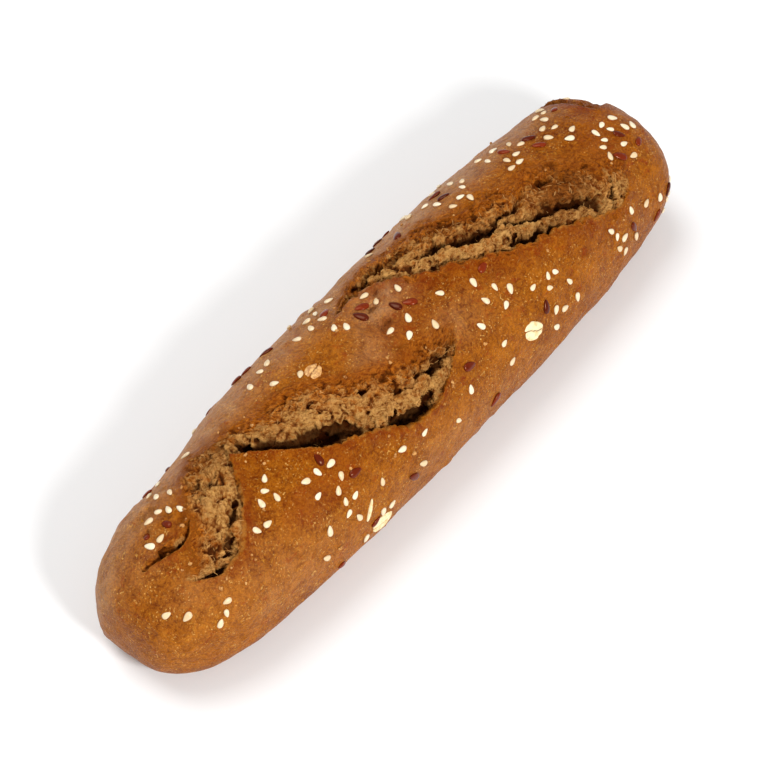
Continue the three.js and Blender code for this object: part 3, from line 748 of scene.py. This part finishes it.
def scatter():
    """The kind, x, turn and heading of every flake and seed, largest first and drift by drift."""
    grains = list(FLAKES)

    def crowded(x, turn):
        return any(math.hypot(g[1] - x, (g[2] - turn) * TURN_MM) < SEED_GAP for g in grains)

    def drop(kind, middle, middle_turn, reach):
        for _ in range(TRIES):
            out = reach * math.sqrt(random())
            way = 2 * math.pi * random()
            heading = 360 * random()
            x = middle + out * math.cos(way)
            turn = middle_turn + out * math.sin(way) / TURN_MM
            if abs(x) < LENGTH / 2 - END_GAP and not crowded(x, turn) and not is_torn(x, turn):
                grains.append((kind, x, turn, heading))
                return

    for kind, column in ((FLAX, 4), (SESAME, 3)):
        for taken in range(MOST_IN_DRIFT):
            for drift in DRIFTS:
                if taken < drift[column]:
                    drop(kind, *drift[:3])
    return grains


def tube_triangles(count, sides):
    """Triangles over a first point, rings between and a last point."""
    last = 1 + (count - 2) * sides
    triangles = []
    for side in range(sides):
        after = (side + 1) % sides
        triangles.append((0, 1 + after, 1 + side))
        for row in range(count - 3):
            a, b = 1 + row * sides + side, 1 + row * sides + after
            triangles += [(a, b, b + sides), (a, b + sides, a + sides)]
        triangles.append((last, last - sides + side, last - sides + after))
    return np.array(triangles)


def drop_shape(kind, rows, sides):
    """A flattened drop, its long axis along Y and its flat side facing Z."""
    points = [(0.0, -kind["length"] / 2, 0.0)]
    for row in range(1, rows):
        along = -math.cos(row / rows * math.pi)
        girth = math.sin(row / rows * math.pi) * (1 - kind["taper"] * along)
        for side in range(sides):
            angle = 2 * math.pi * side / sides
            points.append((
                kind["width"] / 2 * girth * math.cos(angle),
                kind["length"] / 2 * along,
                kind["thick"] / 2 * girth * math.sin(angle),
            ))
    points.append((0.0, kind["length"] / 2, 0.0))
    return np.array(points), tube_triangles(rows + 1, sides)


def dropped(tree, spot, direction):
    """Where a grain lands that falls from 12 mm above that spot of skin, and the slope there."""
    start = spot + 12 * direction
    return tree.ray_cast(Vector(start * MM), Vector(-direction))[:2]


def laid(kind, x, turn, heading, tree):
    """A kind's shape, laid on the loaf's own surface, with how deep in a crease each point is."""
    x, turn = np.array([float(x)]), np.array([float(turn)])
    direction = outward(x, turn)[0]
    hit, normal = dropped(tree, skin(x, turn)[0], direction)
    normal = np.array(normal.lerp(Vector(direction), 0.5).normalized())
    ahead = np.array([1.0, 0, 0]) - normal[0] * normal
    ahead /= norm(ahead)
    angle = math.radians(heading)
    along = ahead * math.cos(angle) + np.cross(normal, ahead) * math.sin(angle)
    flake = "crease" in kind
    points, triangles = drop_shape(kind, *(FLAKE_NET if flake else SEED_NET))
    size = 1.0 if flake else between(0.84, 1.12)
    shifted = points + NOISE_SHIFT * random()
    bumps = 1 + kind.get("uneven", 0.05) * wobble(shifted, 0.5 * kind["width"], 5)
    groove = np.zeros(len(points))
    if flake:
        bumps = bumps + waves(shifted, (0.08, 1.1, 6))
        middle = 0.35 * np.sin(points[:, 1] * 0.7)
        groove = bell((points[:, 0] - middle) / 0.3) * (points[:, 2] > 0) * (kind["crease"] > 0)
        points = points - (groove * kind["crease"])[:, None] * np.array([0, 0, 1])
    points = points * bumps[:, None] * size
    base = np.array(hit) / MM + normal * kind["thick"] * size * (0.5 - kind["sunk"])
    return base + points @ np.stack([np.cross(along, normal), along, normal]), triangles, groove


def strand_shape(path, normal, radius):
    """A closed thread along the path, thinner at its ends."""
    points = [path[0]]
    for k in range(1, len(path) - 1):
        forward = path[k + 1] - path[k - 1]
        side = np.cross(forward, normal)
        side /= norm(side)
        up = np.cross(side, forward / norm(forward))
        thick = radius * (0.5 + 0.5 * fade(k / (len(path) - 1)))
        for step in range(STRAND_SIDES):
            angle = 2 * math.pi * step / STRAND_SIDES
            points.append(path[k] + thick * (math.cos(angle) * side + math.sin(angle) * up))
    points.append(path[-1])
    return np.array(points), tube_triangles(len(path), STRAND_SIDES)


def strand_parts(tree):
    """Threads of crumb, each from one spot of a tear to another, over what lies between."""
    parts = []
    share = np.linspace(0, 1, STRAND_POINTS)
    for _ in range(STRANDS):
        tear = TEARS[int(random() ** 1.4 * 3)]
        station = int(between(0.04, 0.96) * (STATIONS - 1))
        unit = tear.unit[station]
        spot = tear.lip[station] + unit * tear.width[station] * between(0.08, 1.03)
        angle = math.atan2(unit[1], unit[0]) + between(-1.2, 1.2)
        length = between(1.0, 3.0)
        sway = between(-0.7, 0.7)
        radius = between(0.055, 0.1)
        shade = random()
        way = np.array([math.cos(angle), math.sin(angle)])
        spots = spot + (share[:, None] - 0.5) * length * way + sway * fade(share)[:, None] * way[::-1]
        x, turn = spots[:, 0], spots[:, 1] / TURN_MM
        direction = outward(x, turn)
        hits = [dropped(tree, *pair)[0] for pair in zip(skin(x, turn), direction)]
        if any(hit is None for hit in hits):
            continue
        hits = np.array(hits) / MM
        normal = direction[STRAND_POINTS // 2]
        chord = mix(hits[0], hits[-1], share[:, None])
        above = (hits - chord) @ normal
        step = abs((hits[-1] - hits[0]) @ normal)
        if step > STEEPEST_STRAND or above.max() > 0.5 * STEEPEST_STRAND:
            continue
        lift = np.maximum(above + STRAND_SUNK, 0.24 * fade(share))
        lift[[0, -1]] = -STRAND_SUNK
        points, triangles = strand_shape(chord + lift[:, None] * normal, normal, radius)
        parts.append((points, triangles, np.full(len(points), shade), np.zeros(len(points))))
    return parts


def crumb_spots():
    """Where loose crumbs lie: beside the tears, and a few on open crust."""
    spots = []
    for tear in TEARS[:3]:
        for _ in range(CRUMBS_AT_TEAR):
            station = int(random() * (STATIONS - 1))
            if random() < 0.6:
                past = -1.5 - 7 * random()
            else:
                past = tear.width[station] + 1 + 7 * random()
            spots.append(tear.lip[station] + tear.unit[station] * past)
    for _ in range(CRUMBS_ON_CRUST):
        x = (random() - 0.5) * (LENGTH - 30)
        spots.append(np.array([x, between(-100, 100) * TURN_MM]))
    return [(spot[0], spot[1] / TURN_MM) for spot in spots]


def grain_pieces(loaf):
    """One mesh for each kind of grain, for the loose crumbs and for the threads of crumb."""
    vertices = [v.co for v in loaf.data.vertices]
    tree = BVHTree.FromPolygons(vertices, [tuple(p.vertices) for p in loaf.data.polygons])
    gathered = {}

    def lay(kind, x, turn, heading):
        points, triangles, groove = laid(kind, x, turn, heading, tree)
        shade = np.full(len(points), kind.get("shade", random()))
        gathered.setdefault(kind["name"], []).append((points, triangles, shade, groove))

    for grain in scatter():
        lay(*grain)
    for x, turn in crumb_spots():
        size = between(0.5, 1.1)
        length = size * between(1.0, 1.6)
        kind = dict(CRUMB, length=length, width=size, thick=0.8 * size)
        lay(kind, x, turn, 360 * random())
    gathered["strands"] = strand_parts(tree)
    pieces = {}
    for name, parts in gathered.items():
        starts = np.cumsum([0] + [len(part[0]) for part in parts])
        triangles = np.concatenate([part[1] + start for part, start in zip(parts, starts)])
        points, _, shade, groove = (np.concatenate([part[k] for part in parts]) for k in range(4))
        pieces[name] = mesh_piece(name, points, triangles, {"shade": shade, "groove": groove})
    return pieces


# ---- Materials


def linear(*colour):
    """A colour as a screen shows it, 0 to 255, for a shader, by the standard curve."""
    parts = [((c / 255 + 0.055) / 1.055) ** 2.4 if c > 10 else c / 255 / 12.92 for c in colour]
    return (*parts, 1.0)


class Shader:
    """A Principled material and short ways to add nodes to it. Sizes are in millimetres, colours
    from 0 to 255, and a mask is one of the numbers that the mesh's points carry."""

    def __init__(self, name, roughness, specular, tint=(1, 1, 1)):
        self.material = bpy.data.materials.new(name)
        self.material.use_nodes = True
        self.tree = self.material.node_tree
        self.surface = self.tree.nodes["Principled BSDF"]
        self.surface.inputs["Roughness"].default_value = roughness
        self.surface.inputs["Specular IOR Level"].default_value = specular
        self.surface.inputs["Specular Tint"].default_value = (*tint, 1)
        self.place = self.node("TexCoord", "Object", {})

    def put(self, socket, value):
        if isinstance(value, bpy.types.NodeSocket):
            self.tree.links.new(value, socket)
        else:
            socket.default_value = linear(*value) if isinstance(value, tuple) else value

    def node(self, kind, output, inputs, **settings):
        """An output of a new node with these settings and inputs."""
        node = self.tree.nodes.new("ShaderNode" + kind)
        for name, setting in settings.items():
            setattr(node, name, setting)
        for name, value in inputs.items():
            self.put(node.inputs[name], value)
        return node.outputs[output]

    def mask(self, name):
        return self.node("Attribute", "Fac", {}, attribute_name=name)

    def noise(self, size, detail, rough=0.55, warp=0.0, place=None):
        inputs = {"Scale": 1 / (size * MM), "Detail": detail, "Roughness": rough, "Distortion": warp}
        return self.node("TexNoise", "Fac", {**inputs, "Vector": place or self.place})

    def strands(self, stretch):
        """A place that is stretched along the tear, for fibres."""
        along = self.math("DIVIDE", self.mask("along"), stretch)
        return self.node("CombineXYZ", "Vector", {"X": along, "Y": self.mask("past")})

    def span(self, value, low, high, to_low=0.0, to_high=1.0):
        """Runs smoothly from one number to the other while the value goes from low to high."""
        limits = {"From Min": low, "From Max": high, "To Min": to_low, "To Max": to_high}
        inputs = {"Value": value, **limits}
        return self.node("MapRange", "Result", inputs, interpolation_type="SMOOTHSTEP")

    def math(self, operation, first, second=0.0):
        return self.node("Math", 0, {0: first, 1: second}, operation=operation)

    def add(self, first, second):
        return self.math("ADD", first, second)

    def times(self, value, *factors):
        for factor in factors:
            value = self.math("MULTIPLY", value, factor)
        return value

    def blend(self, share, first, second):
        return self.node("Mix", "Result", {"Factor": share, "A": first, "B": second}, data_type="RGBA")

    def coat(self, colour, *shares):
        """Lays a colour over the material's, as strong as the product of the shares."""
        self.colour = self.blend(self.times(*shares), self.colour, colour)

    def stain(self, colour, strength, *patterns):
        """Lays a colour where the patterns are: the values a noise sets in between, and the noise."""
        spots = [self.span(self.noise(*noise), low, high) for low, high, *noise in patterns]
        self.coat(colour, *spots, strength)

    def bump(self, height, depth, strength):
        inputs = {"Height": height, "Distance": depth * MM, "Strength": strength}
        return self.node("Bump", "Normal", inputs)

    def done(self, **inputs):
        for name, value in {"Base Color": self.colour, **inputs}.items():
            self.put(self.surface.inputs[name], value)
        return self.material


def loaf_material():
    s = Shader("bread", 0.45, 0.12, tint=(1.0, 0.6, 0.28))
    crumb, torn, lip, toast = map(s.mask, ("crumb", "torn", "lip", "toast"))
    deep, crest, bake, flour_and_sheen, tan = map(s.mask, ("deep", "crest", "bake", "flour_and_sheen", "tan"))
    uneven = s.noise(4.5, 8, 0.72, 0.8)
    grain = s.noise(0.9, 5, 0.7, 0.3)

    # the crust: two browns, flour with a painted sheen, grain, red stains, pale flakes, pale specks
    # that are partly painted glints, pores, bake, scars, lips
    patches = s.span(s.add(s.noise(20, 3, 0.5), s.times(bake, 0.4)), 0.45, 0.95)
    s.colour = s.blend(patches, (186, 106, 14), (116, 46, 2))
    s.coat(s.blend(s.span(uneven, 0.38, 0.62), (104, 38, 2), (200, 116, 20)), 0.45)
    # flour, and on the flank facing +Y a painted sheen
    s.coat((212, 168, 124), flour_and_sheen, s.span(uneven, 0.36, 0.60, 0.45, 1.0), 0.85)
    s.coat(s.blend(s.span(grain, 0.38, 0.62), (96, 34, 2), (208, 124, 28)), 0.36)
    s.stain((146, 46, 6), 0.5, (0.56, 0.68, 3.2, 5, 0.65, 0.8))
    s.stain((219, 149, 50), 0.65, (0.56, 0.68, 1.3, 3, 0.7, 0.5), (0.42, 0.62, 7.0, 3, 0.6))
    # pale specks: partly pale flecks in the crust, partly painted glints
    s.stain((240, 187, 102), 0.7, (0.62, 0.71, 0.66, 1, 0.5), (0.4, 0.6, 4.0, 2, 0.5))
    s.stain((84, 28, 3), 0.5, (0.62, 0.72, 0.9, 2, 0.6))
    s.coat((148, 64, 8), s.span(bake, 0.7, 1.0, 0, 0.35))
    s.stain((208, 142, 56), 0.4, (0.60, 0.72, 5.0, 5, 0.7, 1.5))
    s.coat((124, 40, 3), lip, s.span(uneven, 0.36, 0.62, 0.8, 0.4))

    # crumb that browned in the oven, with painted shade in its pits, and the torn line of the lip
    fibres = s.noise(0.8, 5, 0.75, 0.7, s.strands(2.0))
    curls = s.noise(1.5, 2, 0.5, 1.4, s.strands(1.5))
    threads = s.span(s.math("ABSOLUTE", s.math("SUBTRACT", curls, 0.5)), 0.04, 0.0)
    browned = s.blend(s.span(fibres, 0.36, 0.64), (112, 42, 3), (206, 118, 32))
    roasted = s.blend(s.span(fibres, 0.36, 0.64), (70, 26, 2), (146, 76, 18))
    browned = s.blend(s.times(tan, 0.8), browned, roasted)
    s.coat(browned, toast, 0.75)
    # painted shade in the pits of toasted crumb
    s.coat((70, 24, 3), toast, s.span(crest, 0.6, 0.25), 0.7)
    s.coat((190, 122, 50), torn)

    # bare crumb: fibres and threads, dark and warm stains, then painted shade in its pits and hollows
    # and painted highlights on its crests
    crust = s.colour
    s.colour = s.blend(s.span(s.noise(3.4, 4, 0.6, 0.5), 0.38, 0.62), (154, 90, 28), (202, 142, 72))
    s.coat(s.blend(s.span(fibres, 0.38, 0.60), (124, 62, 14), (230, 174, 98)), 0.65)
    s.coat((220, 166, 98), threads, 0.6)
    s.stain((88, 34, 5), 0.65, (0.58, 0.70, 1.1, 3, 0.7, 0.6))
    s.stain((172, 88, 16), 0.6, (0.50, 0.64, 4.2, 5, 0.65, 1.0))
    s.coat(browned, toast, s.span(s.noise(3.0, 3, 0.6), 0.35, 0.6, 0.4, 1))
    s.coat(roasted, tan, 0.9)
    # painted shade in the pits, darker the deeper they are
    s.coat((118, 52, 9), s.span(crest, 0.50, 0.22, 0, 0.8))
    s.coat((64, 22, 3), s.span(crest, 0.20, 0.02, 0, 0.75))
    # painted highlight on the crests
    s.coat((226, 170, 98), s.span(crest, 0.78, 1.0, 0, 0.5))
    # painted shade in the hollows
    s.coat((62, 20, 2), s.span(deep, 0.15, 0.7, 0, 0.9))

    wrinkles = s.add(s.times(grain, 2.6), s.times(uneven, 2.2))
    wrinkles = s.add(wrinkles, s.times(s.noise(2.0, 3, 0.6, 0.4), 2.0))
    fuzz = s.times(fibres, s.math("MAXIMUM", crumb, toast), s.span(tan, 0, 1, 2.4, 0.9))
    s.colour = s.blend(crumb, crust, s.colour)
    relief = s.bump(s.add(wrinkles, fuzz), 0.7, 0.8)
    return s.done(Normal=relief, Roughness=s.span(crumb, 0, 1, 0.38, 0.9))


def sesame_material():
    s = Shader("sesame_husk", 0.38, 0.5)
    s.colour = s.blend(s.mask("shade"), (236, 221, 190), (216, 188, 144))
    s.stain((196, 158, 104), 0.4, (0.5, 0.8, 0.9, 2))
    return s.done(Normal=s.bump(s.noise(0.5, 2), 0.05, 0.5))


def flax_material():
    s = Shader("flax_husk", 0.2, 0.3, tint=(1.0, 0.66, 0.42))
    s.colour = s.blend(s.mask("shade"), (70, 14, 2), (122, 38, 8))
    s.stain((42, 8, 1), 0.5, (0.5, 0.8, 0.8, 2))
    return s.done(Normal=s.bump(s.noise(0.6, 2), 0.05, 0.5))


def oat_material():
    s = Shader("oat_flake", 0.6, 0.3)
    s.colour = s.blend(s.span(s.noise(1.6, 3), 0.4, 0.7), (238, 222, 178), (224, 192, 134))
    burnt = s.blend(s.span(s.noise(1.1, 4, 0.7), 0.4, 0.6), (160, 92, 24), (222, 164, 92))
    s.coat(burnt, s.span(s.mask("shade"), 0.2, 0.8, 0, 0.85))
    # painted shade along the crease
    s.coat((112, 68, 24), s.span(s.mask("groove"), 0.35, 0.85, 0, 0.8))
    return s.done(Normal=s.bump(s.noise(0.8, 3), 0.12, 0.6))


def crumbs_material():
    s = Shader("loose_crumb", 0.8, 0.1)
    s.colour = s.blend(s.mask("shade"), (196, 140, 78), (140, 78, 28))
    s.stain((214, 166, 104), 0.6, (0.4, 0.65, 0.5, 3))
    return s.done(Normal=s.bump(s.noise(0.4, 3), 0.1, 0.7))


def strands_material():
    s = Shader("crumb_strand", 0.85, 0.05)
    s.colour = s.blend(s.mask("shade"), (226, 172, 104), (140, 80, 30))
    s.stain((164, 100, 42), 0.5, (0.4, 0.65, 1.5, 3))
    return s.done()


# ---- Stage, in metres


FLOOR_REACH = 3.0
FLOOR_GREY = 0.9
SKY_STRENGTH = 0.42
LAMPS = (("key", (-0.3, -0.98, 0.75), 0.3, 13), ("overhead", (-0.1, 0.5, 1.1), 1.0, 10))
LAMPS_LOOK = Vector((0, 0, 0.02))
CAMERA_AZIMUTH = -52.0
CAMERA_ELEVATION = 52.0
CAMERA_DISTANCE = 0.9
CAMERA_LOOK = Vector((-0.008, -0.003, 0.025))
CAMERA_LENS = 136.27
SENSOR_WIDTH = 36


def stage():
    mesh = bpy.data.meshes.new("floor")
    near, far = -FLOOR_REACH, FLOOR_REACH
    corners = [(near, near, 0), (far, near, 0), (far, far, 0), (near, far, 0)]
    mesh.from_pydata(corners, [], [(0, 1, 2, 3)])
    floor = placed("floor", mesh)
    s = Shader("pale_floor", 0.9, 0.1)
    s.surface.inputs["Base Color"].default_value = (FLOOR_GREY, FLOOR_GREY, FLOOR_GREY, 1)
    floor.data.materials.append(s.material)
    world = bpy.data.worlds.new("studio")
    bpy.context.scene.world = world
    world.use_nodes = True
    background = world.node_tree.nodes["Background"]
    background.inputs["Color"].default_value = (1, 1, 1, 1)
    background.inputs["Strength"].default_value = SKY_STRENGTH
    for name, place, size, power in LAMPS:
        light = bpy.data.lights.new(name, "AREA")
        light.shape = "DISK"
        light.size = size
        light.energy = power
        lamp = placed(name, light)
        lamp.location = place
        lamp.rotation_euler = (LAMPS_LOOK - Vector(place)).to_track_quat("-Z", "Y").to_euler()


def camera():
    azimuth, elevation = math.radians(CAMERA_AZIMUTH), math.radians(CAMERA_ELEVATION)
    back = Vector((
        math.sin(azimuth) * math.cos(elevation),
        -math.cos(azimuth) * math.cos(elevation),
        math.sin(elevation),
    ))
    lens = bpy.data.cameras.new("camera")
    lens.sensor_width = SENSOR_WIDTH
    lens.lens = CAMERA_LENS
    eye = placed("camera", lens)
    eye.location = CAMERA_LOOK + back * CAMERA_DISTANCE
    eye.rotation_euler = (-back).to_track_quat("-Z", "Y").to_euler()
    bpy.context.scene.camera = eye


# ---- The whole

stage()
camera()
bpy.context.scene.view_settings.view_transform = "Standard"

loaf = loaf_piece()
loaf.data.materials.append(loaf_material())
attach(loaf, "root")
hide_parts("baguette")

FINISHES = {
    "sesame": (sesame_material, "sesame"),
    "flax": (flax_material, "flax"),
    "oat": (oat_material, "oat"),
    "crumbs": (crumbs_material, "crumb"),
    "strands": (strands_material, "crumb"),
}
for name, piece in grain_pieces(loaf).items():
    material, slot = FINISHES[name]
    piece.data.materials.append(material())
    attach(piece, "root")
    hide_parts("baguette")
